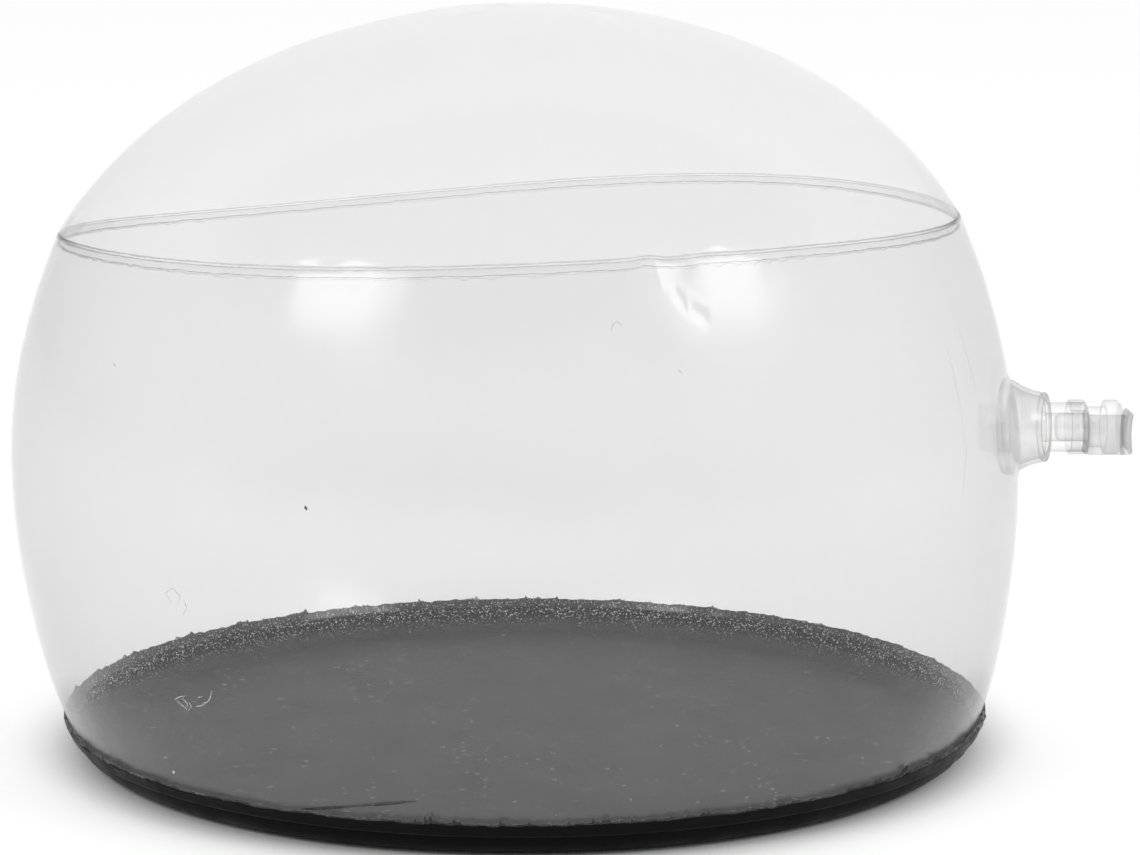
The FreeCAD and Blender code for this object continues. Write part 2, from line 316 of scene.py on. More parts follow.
def emboss(tree, where, depth):
    """Normals of the fine sand pattern pressed into the black film."""
    grain = noise_node(tree, 2600.0, 1.0, 0.6, where)
    slow = noise_node(tree, 60.0, 2.0, 0.5, where)
    height = math_node(tree, "ADD", grain, math_node(tree, "MULTIPLY", slow, 0.6))
    return bump_normal(tree, height, 1.0, depth)


def cloud_share(tree, where):
    """Slow pale clouds of bloom, as soft vinyl gets when it is stored."""
    return map_range(tree, noise_node(tree, 55.0, 3.0, 0.55, where), 0.3, 0.65, 0.03, 0.14)


def dust_share(tree, where):
    """How much dust there is: fine dust, single flecks and rubbed streaks."""
    dust = map_range(tree, noise_node(tree, 420.0, 5.0, 0.8, where), 0.66, 0.8, 0.0, 0.35)
    flecks = map_range(tree, noise_node(tree, 900.0, 0.0, 0.5, where), 0.78, 0.83, 0.0, 2.0)
    rubbed = node(tree, "ShaderNodeMapping", {"Vector": where, "Scale": (1.0, 14.0, 1.0)}).outputs[0]
    rubs = map_range(tree, noise_node(tree, 150.0, 3.0, 0.6, rubbed), 0.45, 0.75, 0.0, 0.16)
    return math_node(tree, "ADD", math_node(tree, "ADD", dust, flecks), rubs)


def painted_glint_grains(tree, where):
    """Near-black film with scattered bright grains in its colour: painted glints where the sand pattern turns
    up and catches the light.
    """
    cells = node(tree, "ShaderNodeTexVoronoi", {"Vector": where, "Scale": 4000.0}).outputs["Color"]
    painted_glint_share = node(tree, "ShaderNodeSeparateColor", {"Color": cells}).outputs[0]
    painted_glint_share = map_range(tree, painted_glint_share, 0.86, 0.94, 0.0, 1.0)
    return mix_colour(tree, painted_glint_share, grey(0.001), grey(0.7))


def base_inside_material():
    """Inside of the black film: sand emboss, dust, pale clouds, and painted glints (bright grains in the
    colour) up the corner.
    """
    material, tree = new_material("black_inside")
    where = position(tree)
    normal = emboss(tree, where, 0.00002)
    pale = math_node(tree, "ADD", cloud_share(tree, where), dust_share(tree, where), True)
    colour = mix_colour(tree, pale, grey(0.02), grey(0.17))
    # Painted glints: the bright grains are mixed in more and more up the corner.
    rim = map_range(tree, axis_part(tree, where, "Z"), 0.0004, 0.0046, 0.0, 1.0)
    rim = math_node(tree, "POWER", rim, 1.8)
    colour = mix_colour(tree, rim, colour, painted_glint_grains(tree, where))
    shader = node(tree, "ShaderNodeBsdfPrincipled", {"Base Color": colour, "Normal": normal})
    shader.inputs["Roughness"].default_value = 0.6
    shader.inputs["Specular IOR Level"].default_value = 0.25
    output(tree, shader.outputs[0])
    return material


def base_outside_material():
    """Outside of the black film: deep black, dull, with a slow unevenness."""
    material, tree = new_material("black_outside")
    where = position(tree)
    slow = noise_node(tree, 140.0, 3.0, 0.5, where)
    normal = bump_normal(tree, slow, 0.5, 0.0006)
    rough = map_range(tree, slow, 0.3, 0.7, 0.3, 0.5)
    shader = node(tree, "ShaderNodeBsdfPrincipled", {"Roughness": rough, "Normal": normal})
    shader.inputs["Base Color"].default_value = grey(0.003)
    shader.inputs["Specular IOR Level"].default_value = 0.07
    output(tree, shader.outputs[0])
    return material


def melt_material():
    """Black film melted into clear: dark glossy crumbs with see-through grey between them."""
    material, tree = new_material("black_melt")
    where = position(tree)
    grain = noise_node(tree, 900.0, 2.0, 0.6, where)
    slow = noise_node(tree, 170.0, 1.0, 0.5, where)
    mixed = math_node(tree, "ADD", math_node(tree, "MULTIPLY", grain, 0.5), slow)
    share = map_range(tree, mixed, 0.7, 0.9, 1.0, 0.3)
    normal = bump_normal(tree, grain, 0.6, 0.0005)
    clear = transparent(tree, grey(0.8))
    dark_body = node(tree, "ShaderNodeBsdfPrincipled", {"Normal": normal})
    dark_body.inputs["Base Color"].default_value = grey(0.012)
    dark_body.inputs["Roughness"].default_value = 0.22
    output(tree, mix_shader(tree, share, clear, dark_body.outputs[0]))
    return material


def moulding_material(name, tint, edge_tint, haze, milk_grey=0.82):
    """Soft clear moulding: see-through, with milky haze, a wet shine and dark grazing edges."""
    material, tree = new_material(name)
    where = position(tree)
    slow = noise_node(tree, 320.0, 2.0, 0.5, where)
    normal = bump_normal(tree, slow, 0.4, 0.0004)
    facing = node(tree, "ShaderNodeLayerWeight", {"Blend": 0.5, "Normal": normal}).outputs["Facing"]
    edge = math_node(tree, "POWER", facing, 2.5)
    clear = transparent(tree, mix_colour(tree, edge, grey(tint), grey(edge_tint)))
    coat = reflectance(tree, facing, 0.04, 0.5)
    glossy = mix_shader(tree, coat, clear, mirror(tree, 0.16, normal))
    milk = map_range(tree, slow, 0.35, 0.7, haze, haze * 1.8)
    output(tree, mix_shader(tree, milk, glossy, diffuse(tree, grey(milk_grey))))
    return material


def mark_material(name, level, seen):
    """Scuffs, specks and painted crease shade: broken, partly see-through."""
    material, tree = new_material(name)
    grain = noise_node(tree, 1800.0, 3.0, 0.6, position(tree))
    share = map_range(tree, grain, 0.3, 0.6, seen * 0.4, seen)
    output(tree, mix_shader(tree, share, transparent(tree, grey(1)), diffuse(tree, grey(level))))
    return material


film = film_material("clear_film", 0.938, 0.84, 0.004, 0.03)
crown = film_material("clear_film_crown", 0.966, 0.9, 0.004, 0.03)
lips = film_material("fused_film", 0.997, 0.94, 0.003, 0.008, 0.003)
fold = film_material("folded_film", 0.99, 0.38, 0.004, 0.01, 0.008, 8.0)
weld = film_material("weld", 0.995, 0.3, 0.004, 0.02, 0.008, 3.5)
# Painted shade: a darker film for the two fine ridges at the top seam's folds.
ridge_fold_shade = film_material("pinched_ridge_painted_shade", 0.9, 0.6, 0.01, 0.05, 0.02, 2.0)
melt = melt_material()
black = base_inside_material()
black_outside = base_outside_material()
soft = moulding_material("valve_plastic", 0.982, 0.6, 0.03)
milky = moulding_material("bell_plastic", 0.975, 0.6, 0.09, 0.72)
firm = moulding_material("strap_plastic", 0.94, 0.48, 0.15, 0.5)
# Painted shade: a much darker copy of the strap's plastic for the hinge groove.
groove_shade = moulding_material("strap_groove_painted_shade", 0.72, 0.3, 0.12, 0.4)
fused = film_material("fused_plastic", 0.995, 0.96, 0.003, 0.01, 0.004)
ring_weld = film_material("valve_weld", 0.96, 0.45, 0.01, 0.05, 0.01, 4.0)
# Painted shade: a near-black see-through strip for the shade in the crease by the base.
shade = mark_material("painted_crease_shade", 0.02, 0.5)
pale = mark_material("pale_scuff", 0.9, 0.5)
dark = mark_material("dark_speck", 0.02, 0.75)
# Faint marks for nicks, hooks and rubs, also used as painted shade along the long creases.
faint = mark_material("faint_mark_and_crease_shade", 0.3, 0.2)

# ---------------------------------------------------------------- meshes


def azimuths():
    """Azimuths round the dome, closer together at the dent and at the valve."""
    even = np.linspace(-math.pi, math.pi, 20001)
    density = 1 + 3.2 * bump(even, -71, 9) + 1.2 * bump(even, 0, 12)
    total = np.concatenate([[0], np.cumsum((density[1:] + density[:-1]) / 2)])
    return np.interp(np.linspace(0, total[-1], AROUND, endpoint=False), total, even)


def make_object(name, verts, faces, material):
    mesh = bpy.data.meshes.new(name)
    mesh.from_pydata((np.asarray(verts) * MM).tolist(), [], faces)
    mesh.validate()
    mesh.shade_smooth()
    mesh.materials.append(material)
    obj = bpy.data.objects.new(name, mesh)
    bpy.context.collection.objects.link(obj)
    return obj


def quads(rows, columns, wrap_rows, wrap_columns):
    """Index quads of a grid of rows by columns."""
    row_count = rows if wrap_rows else rows - 1
    column_count = columns if wrap_columns else columns - 1
    i, j = np.meshgrid(np.arange(row_count), np.arange(column_count), indexing="ij")
    i2, j2 = (i + 1) % rows, (j + 1) % columns
    grid = np.stack([i * columns + j, i * columns + j2, i2 * columns + j2, i2 * columns + j], -1)
    return grid.reshape(-1, 4).tolist()


def ribbon(r, z, thickness):
    """Closed outline of a film whose middle line is given, as rows down one side and back up the other."""
    dr, dz = np.gradient(r, axis=0), np.gradient(z, axis=0)
    length = np.hypot(dr, dz)
    nr, nz = dz / length * thickness / 2, -dr / length * thickness / 2
    out_r = np.concatenate([r + nr, (r - nr)[::-1]])
    out_z = np.concatenate([z + nz, (z - nz)[::-1]])
    return out_r, out_z


def tuck(r, z):
    """The closing weld draws the dome in a little at its foot."""
    return r * (1 - TUCK * np.exp(-((z / TUCK_REACH) ** 2)))


def around(r, z, a):
    """Points of an outline turned round the leaning axis."""
    r = tuck(r, z)
    return np.stack([r * np.cos(a) + lean(z), r * np.sin(a), z], -1)


def set_material(obj, rows, columns, material):
    """Gives some rows of a ribbon's faces, on both of its sides, another material."""
    obj.data.materials.append(material)
    index = np.zeros(len(obj.data.polygons), np.int32)
    obj.data.polygons.foreach_get("material_index", index)
    count = len(index) // columns * columns
    ring = index[:count].reshape(-1, columns)
    for row in rows:
        ring[row % len(ring)] = len(obj.data.materials) - 1
    obj.data.polygons.foreach_set("material_index", index)


def closed_film(name, r, z, a, thickness, material):
    """Film open at both ends of its middle line: a thin closed ring."""
    out_r, out_z = ribbon(r, z, thickness)
    points = around(out_r, out_z, a)
    faces = quads(*points.shape[:2], True, True)
    return make_object(name, points.reshape(-1, 3), faces, material)


def capped_film(name, r, z, a, thickness, material):
    """Film whose middle line starts on the axis: a thin closed cap or dish."""
    out_r, out_z = ribbon(r, z, thickness)
    rows = out_r.shape[0]
    inner = around(out_r[1:-1], out_z[1:-1], a)
    poles = around(np.zeros(2), out_z[[0, -1], 0], np.zeros(2))
    count = a.size
    faces = quads(rows - 2, count, False, True)
    first, last = (rows - 2) * count, (rows - 2) * count + 1
    step = np.arange(count)
    after = (step + 1) % count
    bottom = (rows - 3) * count
    faces += np.stack([np.full(count, first), after, step], -1).tolist()
    faces += np.stack([np.full(count, last), bottom + step, bottom + after], -1).tolist()
    verts = np.concatenate([inner.reshape(-1, 3), poles])
    return make_object(name, verts, faces, material)


class Seam:
    """Axes at a seam, for every azimuth: s runs along the wall away from the seam, n square to it."""

    def __init__(self, z, up, outward):
        slope = wall_slope(z)
        length = np.hypot(slope, 1)
        rise = 1 if up else -1
        side = 1 if outward else -1
        self.r, self.z = wall_r(z), z
        self.sr, self.sz = rise * slope / length, rise / length
        self.nr, self.nz = side / length, -side * slope / length

    def place(self, s, n):
        """(r, z) rows for a list of (s, n), each a number or an array over the azimuths."""
        return self.r + s * self.sr + n * self.nr, self.z + s * self.sz + n * self.nz


def half_turn(centre_s, centre_n, radius, count):
    """(s, n) of a fold from n = centre - radius to centre + radius, over the side s < centre_s."""
    turn = np.linspace(0, math.pi, count)
    return [(centre_s - radius * math.sin(t), centre_n - radius * math.cos(t)) for t in turn]


def spread(values, count):
    """One or more rows of numbers, each made as long as the azimuths."""
    rows = np.atleast_2d(values)
    return np.broadcast_to(rows, (rows.shape[0], count))


def stack(parts, count):
    """Rows of r and rows of z from a list of (r, z) pairs, each spread over the azimuths."""
    r = np.concatenate([spread(part[0], count) for part in parts])
    z = np.concatenate([spread(part[1], count) for part in parts])
    return r, z


def ragged(a, seed, size):
    """Irregular wander of a melted edge."""
    total = 0
    for k, (turns, share) in enumerate([(37, 0.5), (83, 0.4), (151, 0.35), (263, 0.25), (419, 0.15)]):
        total = total + share * np.sin(turns * a + seed * (k + 1) + 1.7 * np.sin((5 + k) * a + seed))
    return size * total


def scallops(a, seed, size):
    """Row of small arches with points between them, as plastic leaves when two lips are melted together."""
    beat = 58 * a + 1.6 * np.sin(7 * a + seed) + 1.1 * np.sin(19 * a + 2 * seed)
    depth = 0.65 + 0.35 * np.sin(11 * a + seed)
    return size * depth * (1 - np.abs(np.sin(beat)))


def top_lip_edge(a):
    """How far the inner lips hang below the top seam."""
    return TOP_LIP + ragged(a, 1.0, 0.12)


def base_lip_edge(a):
    """How high the outer lips stand above the base seam."""
    return BASE_LIP + ragged(a, 2.3, 0.14) + 0.35 * bump(a, -18, 16) - 0.25 * bump(a, -150, 30)


def base_flare(a):
    """How far the base lips lean out from the wall at their edge; crumpled at the valve's side."""
    crumple = 0.2 * bump(a, -14, 12) * (1 + 0.5 * np.sin(61 * a) + 0.3 * np.sin(97 * a + 1))
    return 0.02 + ragged(a, 4.1, 0.05) + crumple


def wall_lip_rows(a, base):
    """Outer lip of the base seam, from its edge down, and the tight fold that leads into the wall."""
    rows = []
    edge = base_lip_edge(a)
    for share in np.linspace(1, 0.1, 4):
        s = 0.3 + (edge - 0.3) * share
        rows.append(base.place(s, 0.36 + base_flare(a) * share**1.5))
    for s, n in reversed(half_turn(0.35, 0.09, 0.265, 5)):
        rows.append(base.place(s, n))
    return rows


def wall_skin_rows(a, top_z):
    """The wall between its two seams, with its ripples, puckers and dents."""
    share = np.linspace(0.0, 1.0, 64)[:, None]
    share = 0.004 + 0.992 * (share - 0.05 * np.sin(2 * math.pi * share) + 0.06 * np.sin(math.pi * share))
    low, high = BASE_SEAM_Z + 0.2, top_z - 0.2
    z = low + (high - low) * share
    skin = wall_r(z) - CLEAR / 2
    push = ripple(a, z) * np.sin(math.pi * share) ** 0.5
    push = push + seam_pucker(a, top_z - z) + seam_pucker(a + 1, z - BASE_SEAM_Z)
    push = push + wall_dents(a, z) + valve_tent(a, z)
    return skin + push, z


def wall_top_rows(a, top):
    """The fold over the top seam and the inner lip that hangs from it."""
    rows = [top.place(s, n) for s, n in half_turn(0.5, 0.44, 0.265, 7)]
    for share in np.linspace(0.25, 1, 4):
        rows.append(top.place(0.5 + (top_lip_edge(a) - 0.5) * share, 0.72))
    return rows


def wall_film(material):
    """Wall panel with its lips at both seams and the hole for the valve."""
    a = azimuths()
    top = Seam(top_seam_z(a), False, False)
    base = Seam(np.full(AROUND, BASE_SEAM_Z), True, True)
    parts = wall_lip_rows(a, base) + [wall_skin_rows(a, top.z)] + wall_top_rows(a, top)
    r, z = stack(parts, AROUND)
    wall = closed_film("wall_film", r, z, a, CLEAR, material)
    low, high, total = 9, len(r) - 11, 2 * len(r)
    fold_rows = [*range(high, len(r) - 4), *range(len(r) + 3, total - high - 1)]
    lip_rows = [*range(low), *range(len(r) - 4, len(r) + 3), *range(total - low - 1, total)]
    set_material(wall, lip_rows, AROUND, lips)
    set_material(wall, fold_rows, AROUND, fold)
    return cut_valve_hole(wall)


def cut_valve_hole(wall):
    """Cuts the round hole that the valve's shoulder fills."""
    reach = 12.0
    turn = np.linspace(0, 2 * math.pi, HOLE_STEPS, endpoint=False)
    ring = np.stack([HOLE_R * np.cos(turn), HOLE_R * np.sin(turn)], -1)
    verts = [(x, y, VALVE_Z + z) for x in (VALVE_FACE_X - reach, VALVE_FACE_X + reach) for y, z in ring]
    faces = []
    for i in range(HOLE_STEPS):
        j = (i + 1) % HOLE_STEPS
        faces.append([i, j, HOLE_STEPS + j, HOLE_STEPS + i])
    faces += [list(range(HOLE_STEPS))[::-1], list(range(HOLE_STEPS, 2 * HOLE_STEPS))]
    cutter = make_object("hole_cutter", verts, faces, wall.data.materials[0])
    cut = wall.modifiers.new("hole", "BOOLEAN")
    cut.operation = "DIFFERENCE"
    cut.solver = "EXACT"
    cut.object = cutter
    shown = wall.evaluated_get(bpy.context.evaluated_depsgraph_get())
    mesh = bpy.data.meshes.new_from_object(shown)
    wall.modifiers.clear()
    wall.data = mesh
    mesh.name = "wall_film"
    mesh.shade_smooth()
    bpy.data.objects.remove(cutter)
    return wall


def top_film(material):
    """Domed cap with its edge turned in and down at the seam."""
    a = azimuths()
    seam_z = top_seam_z(a)
    seam = Seam(seam_z, False, False)
    reach = wall_r(seam_z) / cap_r(seam_z)
    end = np.arccos((seam_z + 0.35 - CAP_CENTRE_Z) / CAP_B)
    share = np.linspace(0, 1, 62)[:, None]
    turn = end * share
    r = (CAP_A * reach * np.sin(turn)) - CLEAR / 2
    r[0] = 0
    z = CAP_CENTRE_Z + CAP_B * np.cos(turn) - CLEAR / 2
    push = ripple(a, z) * np.sin(math.pi * share) ** 0.5 + seam_pucker(a + 0.4, z - seam_z)
    push = push - 0.45 * bump(a, -71, 2.2) * np.exp(-(((z - seam_z) / 4) ** 2))
    push[:3] = 0
    normal_r, normal_z = np.sin(turn), np.cos(turn) * CAP_A / CAP_B
    parts = [(r + push * normal_r, z + push * normal_z * 0.6)]
    for s, n in [(0.0, 0.28), (0.22, 0.5), (0.45, 0.78), (0.7, 0.98), (1.0, 1.07)]:
        parts.append(seam.place(s, n))
    for share in np.linspace(0.3, 1, 4):
        parts.append(seam.place(0.9 + (top_lip_edge(a) - 0.9) * share, 1.09))
    r, z = stack(parts, AROUND)
    cap = capped_film("top_film", r, z, a, CLEAR, material)
    first = len(r) - 10
    set_material(cap, range(first, 2 * len(r) - 3 - first), AROUND, fold)
    set_material(cap, range(len(r) - 5, len(r) + 2), AROUND, lips)
    return cap


def base_dish_rows(a):
    """The flat base, slightly uneven, and the corner that turns up round it."""
    half = BLACK / 2
    flat = FLAT_R * np.linspace(0, 1, 22)[:, None] ** 0.8
    sag = 0.12 * np.sin(3 * a + 1) * (flat / FLAT_R) * (1 - flat / FLAT_R)
    turn = np.linspace(0.12, math.pi / 2, 14)[:, None]
    wave = ragged(a, 5.2, 0.05) + 0.25 * bump(a, -14, 12) * np.sin(53 * a)
    corner_r = FLAT_R + (CORNER_W - half) * np.sin(turn) + wave * np.sin(turn)
    corner_z = CORNER_H - (CORNER_H - half) * np.cos(turn) + 0 * a
    return [(flat + 0 * a, half + np.abs(sag)), (corner_r, corner_z)]


def base_film(material):
    """Black dish whose outward lip stands outside the wall's lip."""
    a = azimuths()
    seam = Seam(np.full(AROUND, BASE_SEAM_Z), True, True)
    parts = base_dish_rows(a)
    edge = base_lip_edge(a) + ragged(a, 7.7, 0.12)
    for s, n in [(-0.35, 0.3), (-0.15, 0.62), (0.2, 0.8)]:
        parts.append(seam.place(s, n))
    for share in np.linspace(0.15, 1, 9):
        parts.append(seam.place(0.3 + (edge - 0.3) * share, 0.79 + base_flare(a) * share**1.5))
    r, z = stack(parts, AROUND)
    dish = capped_film("base_film", r, z, a, BLACK, material)
    dish.data.materials.append(black_outside)
    outside_faces = (len(r) - 1) * AROUND
    index = np.zeros(len(dish.data.polygons), np.int32)
    index[:outside_faces] = 1
    index[-2 * AROUND:-AROUND] = 1
    dish.data.polygons.foreach_set("material_index", index)
    return dish


def edge_bead(name, seam, a, inner, outer, start, end, material):
    """Melted bead along two fused lips, from n = inner to outer and from s = start to its ragged end."""
    middle = (inner + outer) / 2
    half = (outer - inner) / 2
    outline = [(0, -1), (0.45, -1.1), (0.8, -0.75), (1, 0), (0.8, 0.75), (0.45, 1.1), (0, 1)]
    rows = [seam.place(start + (end - start) * t, middle + half * w) for t, w in outline]
    r, z = stack(rows, a.size)
    points = around(r, z, a)
    faces = quads(*points.shape[:2], True, True)
    return make_object(name, points.reshape(-1, 3), faces, material)


def top_flash(material):
    """Scalloped melted edge of the lips below the top seam."""
    a = np.linspace(0, 2 * math.pi, FINE_AROUND, endpoint=False)
    seam = Seam(top_seam_z(a), False, False)
    start = top_lip_edge(a) - 0.05
    arches = 0.35 + 0.65 * bump(a, -75, 40)
    end = start + 0.2 + scallops(a, 0.6, 0.75) * arches + np.abs(ragged(a, 3.3, 0.3)) * (1.1 - arches)
    middle = 0.9
    return edge_bead("top_seam_bead", seam, a, middle - 0.33, middle + 0.33, start, end, material)


def top_ridges(material):
    """Two fine ridges, one at each fold, where the heated tool pinched the panels together; their film is
    tinted darker, painted shade for the dark lines these folds show.
    """
    a = np.linspace(0, 2 * math.pi, FINE_AROUND, endpoint=False)
    seam = Seam(top_seam_z(a), False, False)
    turn = np.linspace(0, 2 * math.pi, 8, endpoint=False)
    points = []
    faces = []
    for k, (s, n, radius) in enumerate([(0.1, 0.16, 0.15), (0.72, 0.02, 0.11)]):
        s = s + ragged(a, 2.0 + k, 0.05)
        size = radius * (1 + ragged(a, 5.0 + k, 0.22))
        r, z = stack([seam.place(s + size * math.cos(t), n + 0.8 * size * math.sin(t)) for t in turn], a.size)
        points.append(around(r, z, a).reshape(-1, 3))
        faces += (np.array(quads(8, a.size, True, True)) + k * 8 * a.size).tolist()
    return make_object("top_seam_ridges", np.concatenate(points), faces, material)


def base_flash(material):
    """Ragged melted edge and crumbs of the lips above the base seam."""
    a = np.linspace(0, 2 * math.pi, FINE_AROUND, endpoint=False)
    seam = Seam(np.full(FINE_AROUND, BASE_SEAM_Z), True, True)
    start = base_lip_edge(a) - 0.08
    lumps = np.clip(ragged(a, 9.1, 1.0) + 0.45 * np.sin(613 * a) * np.sin(47 * a), 0, None) ** 2
    heavy = 0.2 + bump(a, -101, 6) + 0.8 * bump(a, -76, 13) + bump(a, -40, 10) + 0.3 * bump(a, 120, 60)
    crumbs = np.abs(np.sin(727 * a + 2 * np.sin(31 * a))) * np.abs(np.sin(89 * a))
    end = start + 0.12 + (0.8 * lumps + 0.5 * crumbs) * heavy
    lean_out = base_flare(a)
    return edge_bead("base_seam_bead", seam, a, 0.25 + lean_out, 0.95 + lean_out, start, end, material)


# ---------------------------------------------------------------- valve pieces


def turned(name, outline, material):
    """Closed ring turned about the valve's axis from (x, radius) points, with x measured from the wall."""
    turn = np.linspace(0, 2 * math.pi, VALVE_STEPS, endpoint=False)
    x = np.array([p[0] for p in outline])[:, None] + 0 * turn
    r = np.array([p[1] for p in outline])[:, None]
    y = r * np.cos(turn)
    z = r * np.sin(turn)
    points = np.stack([VALVE_FACE_X + x, y, VALVE_Z + z], -1)
    faces = quads(len(outline), VALVE_STEPS, True, True)
    return make_object(name, points.reshape(-1, 3), faces, material)


def smooth_outline(points, rounds=2):
    """Rounds the corners of a closed outline by cutting them."""
    pts = np.array(points, float)
    for _ in range(rounds):
        after = np.roll(pts, -1, 0)
        pts = np.stack([pts * 0.8 + after * 0.2, pts * 0.2 + after * 0.8], 1).reshape(-1, 2)
    return pts.tolist()


def shoulder(material):
    """Soft bell between the wall and the stem."""
    outer = [(-1.75, 9.9), (0.2, 9.95), (0.9, 9.6), (2.0, 8.85), (3.6, 8.1), (5.0, 7.65), (6.4, 7.35)]
    inner = [(6.4, 6.5), (4.8, 6.8), (3.4, 7.25), (1.8, 7.9), (0.6, 8.7), (-0.2, 9.05), (-1.75, 9.05)]
    return turned("valve_bell", smooth_outline(outer + inner), material)


def stem(material):
    """Mouth tube with its rim and web: clearer inside the dome and the bell, firmer and greyer at the rim."""
    outline = [
        (6.4, 7.3), (7.2, 7.3), (7.5, 7.0), (7.5, 6.1), (7.15, 5.75), (7.2, 5.3), (7.6, 5.15),
        (15.3, 5.2), (15.6, 4.9), (15.6, 3.3), (15.3, 3.0), (6.4, 3.0), (5.4, 4.2), (-6.0, 4.2),
        (-6.0, 4.9), (-5.7, 5.2), (6.2, 5.2), (6.4, 5.5),
    ]
    tube_piece = turned("valve_tube", smooth_outline(outline, 1), material)
    tube_piece.data.materials.append(fused)
    tube_piece.data.materials.append(firm)
    index = np.zeros(len(tube_piece.data.polygons), np.int32).reshape(-1, VALVE_STEPS)
    index[22:34] = 1    # the stretch inside the dome and the bell
    index[0:9] = 2      # the rim round the bell's mouth
    tube_piece.data.polygons.foreach_set("material_index", index.ravel())
    return tube_piece


STRAP_LEFT_X = 14.75    # middle lines of the strap's two legs and of its front, from the wall and the axis
STRAP_RIGHT_X = 23.25
STRAP_FRONT_Y = -9.8
STRAP_BEND = 1.7
STRAP_HALF_W = 4.2
STRAP_HALF_T = 0.5
GROOVE_X = 21.4         # the thin hinge groove before the stopper


def strap_path():
    """Middle line of the strap in plan, as (x, y): out from the ring, along it, and back to the stopper."""
    left, right, front, bend = STRAP_LEFT_X, STRAP_RIGHT_X, STRAP_FRONT_Y, STRAP_BEND
    points = [(left, -5.7), (left, -6.8), (left, -7.6)]
    for t in np.linspace(0, math.pi / 2, 9):
        points.append((left + bend * (1 - math.cos(t)), front + bend * (1 - math.sin(t))))
    points += [(x, front) for x in np.linspace(left + bend + 0.3, right - bend - 0.3, 24)]
    for t in np.linspace(0, math.pi / 2, 9):
        points.append((right - bend * (1 - math.sin(t)), front + bend * (1 - math.cos(t))))
    points += [(right, y) for y in np.linspace(front + bend + 0.5, -1.2, 10)]
    return np.array(points)


def strap_points(path, half):
    """Rounded flat section carried along the path; the ends of its width curl outwards like a saddle."""
    along = np.gradient(path, axis=0)
    along /= np.linalg.norm(along, axis=1)[:, None]
    side = np.stack([along[:, 1], -along[:, 0]], -1)
    turn = np.linspace(0, 2 * math.pi, STRAP_STEPS, endpoint=False)
    across = STRAP_HALF_W * np.sign(np.cos(turn)) * np.abs(np.cos(turn)) ** 0.35
    thick = np.sign(np.sin(turn)) * np.abs(np.sin(turn)) ** 0.6
    x = path[:, :1] + side[:, :1] * half[:, None] * thick
    y = path[:, 1:] + side[:, 1:] * half[:, None] * thick
    x = x + 0.5 * (across / STRAP_HALF_W) ** 2 * (x - 19.0) / 4.5
    z = VALVE_Z + across + 0 * x
    return np.stack([VALVE_FACE_X + x, y, z], -1)


def strap(material):
    """Flat moulded strap with a thin hinge groove across it before the stopper; the groove's faces take a
    darker material, painted shade in the groove.
    """
    path = strap_path()
    run = np.concatenate([[0], np.cumsum(np.linalg.norm(np.diff(path, axis=0), axis=1))])
    hinge = run[np.argmin(np.hypot(path[:, 0] - GROOVE_X, path[:, 1] - STRAP_FRONT_Y))]
    half = STRAP_HALF_T * (1 - 0.62 * np.exp(-(((run - hinge) / 0.42) ** 2)))
    points = strap_points(path, half)
    faces = quads(len(path), STRAP_STEPS, False, True)
    last = (len(path) - 1) * STRAP_STEPS
    faces += [list(range(STRAP_STEPS)), list(range(last, last + STRAP_STEPS))[::-1]]
    loop_piece = make_object("strap_loop", points.reshape(-1, 3), faces, material)
    loop_piece.data.materials.append(groove_shade)
    index = np.zeros(len(loop_piece.data.polygons), np.int32)
    # Painted shade: the faces at the hinge groove take the darker material.
    index[: len(faces) - 2].reshape(-1, STRAP_STEPS)[np.abs(run[:-1] - hinge) < 0.34] = 1
    loop_piece.data.polygons.foreach_set("material_index", index)
    return loop_piece


def on_wall(azimuth_deg, z, proud=0.03):
    """Point on the outside of the wall film."""
    a = np.radians(azimuth_deg)
    r = tuck(wall_r(z) + ripple(a, z) + wall_dents(a, z), z) + proud
    return np.array([r * np.cos(a) + lean(z), r * np.sin(a), z])


def mark(name, route, radius, material):
    """Thin trail on the wall along (azimuth, height) points, tapered at both ends."""
    steps = np.linspace(0, len(route) - 1, 8 * len(route))
    azimuth = np.interp(steps, range(len(route)), [p[0] for p in route])
    height = np.interp(steps, range(len(route)), [p[1] for p in route])
    middle = np.array([on_wall(u, v) for u, v in zip(azimuth, height)])
    ahead = np.gradient(middle, axis=0)
    ahead /= np.linalg.norm(ahead, axis=1)[:, None]
    out = middle * [1, 1, 0]
    out /= np.linalg.norm(out, axis=1)[:, None]
    side = np.cross(ahead, out)
    taper = 0.35 + 0.65 * np.sin(np.linspace(0, math.pi, len(steps)))
    size = radius * taper * (1 + 0.3 * np.sin(3.1 * steps))
    turn = np.linspace(0, 2 * math.pi, 6, endpoint=False)
    across = side[:, None] * np.cos(turn)[None, :, None]
    raised = 0.3 * out[:, None] * np.sin(turn)[None, :, None]
    points = middle[:, None] + size[:, None, None] * (across + raised)
    faces = quads(len(steps), 6, False, True)
    last = (len(steps) - 1) * 6
    faces += [list(range(6)), list(range(last, last + 6))[::-1]]
    return make_object(name, points.reshape(-1, 3), faces, material)


# ---------------------------------------------------------------- putting it together

PIECES = [  # what makes it, its material, its slot in the record, and the CAD node that it stands for
    (wall_film, film, "clear_film", "wall_panel"),
    (top_film, crown, "clear_film", "top_panel"),
    (base_film, black, "black_film", "base_panel"),
    (top_flash, weld, "weld", "top_seam_flash"),
    (base_flash, melt, "weld", "base_seam_flash"),
]


def add_film_pieces():
    """Panels and seams, all on the shell; the ridges are an extra piece with no CAD node of their own."""
    ridges = top_ridges(ridge_fold_shade)
    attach(ridges, "shell")
    for make, material, slot, replaced in PIECES:
        piece = make(material)
        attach(piece, "shell")
        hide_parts(replaced)


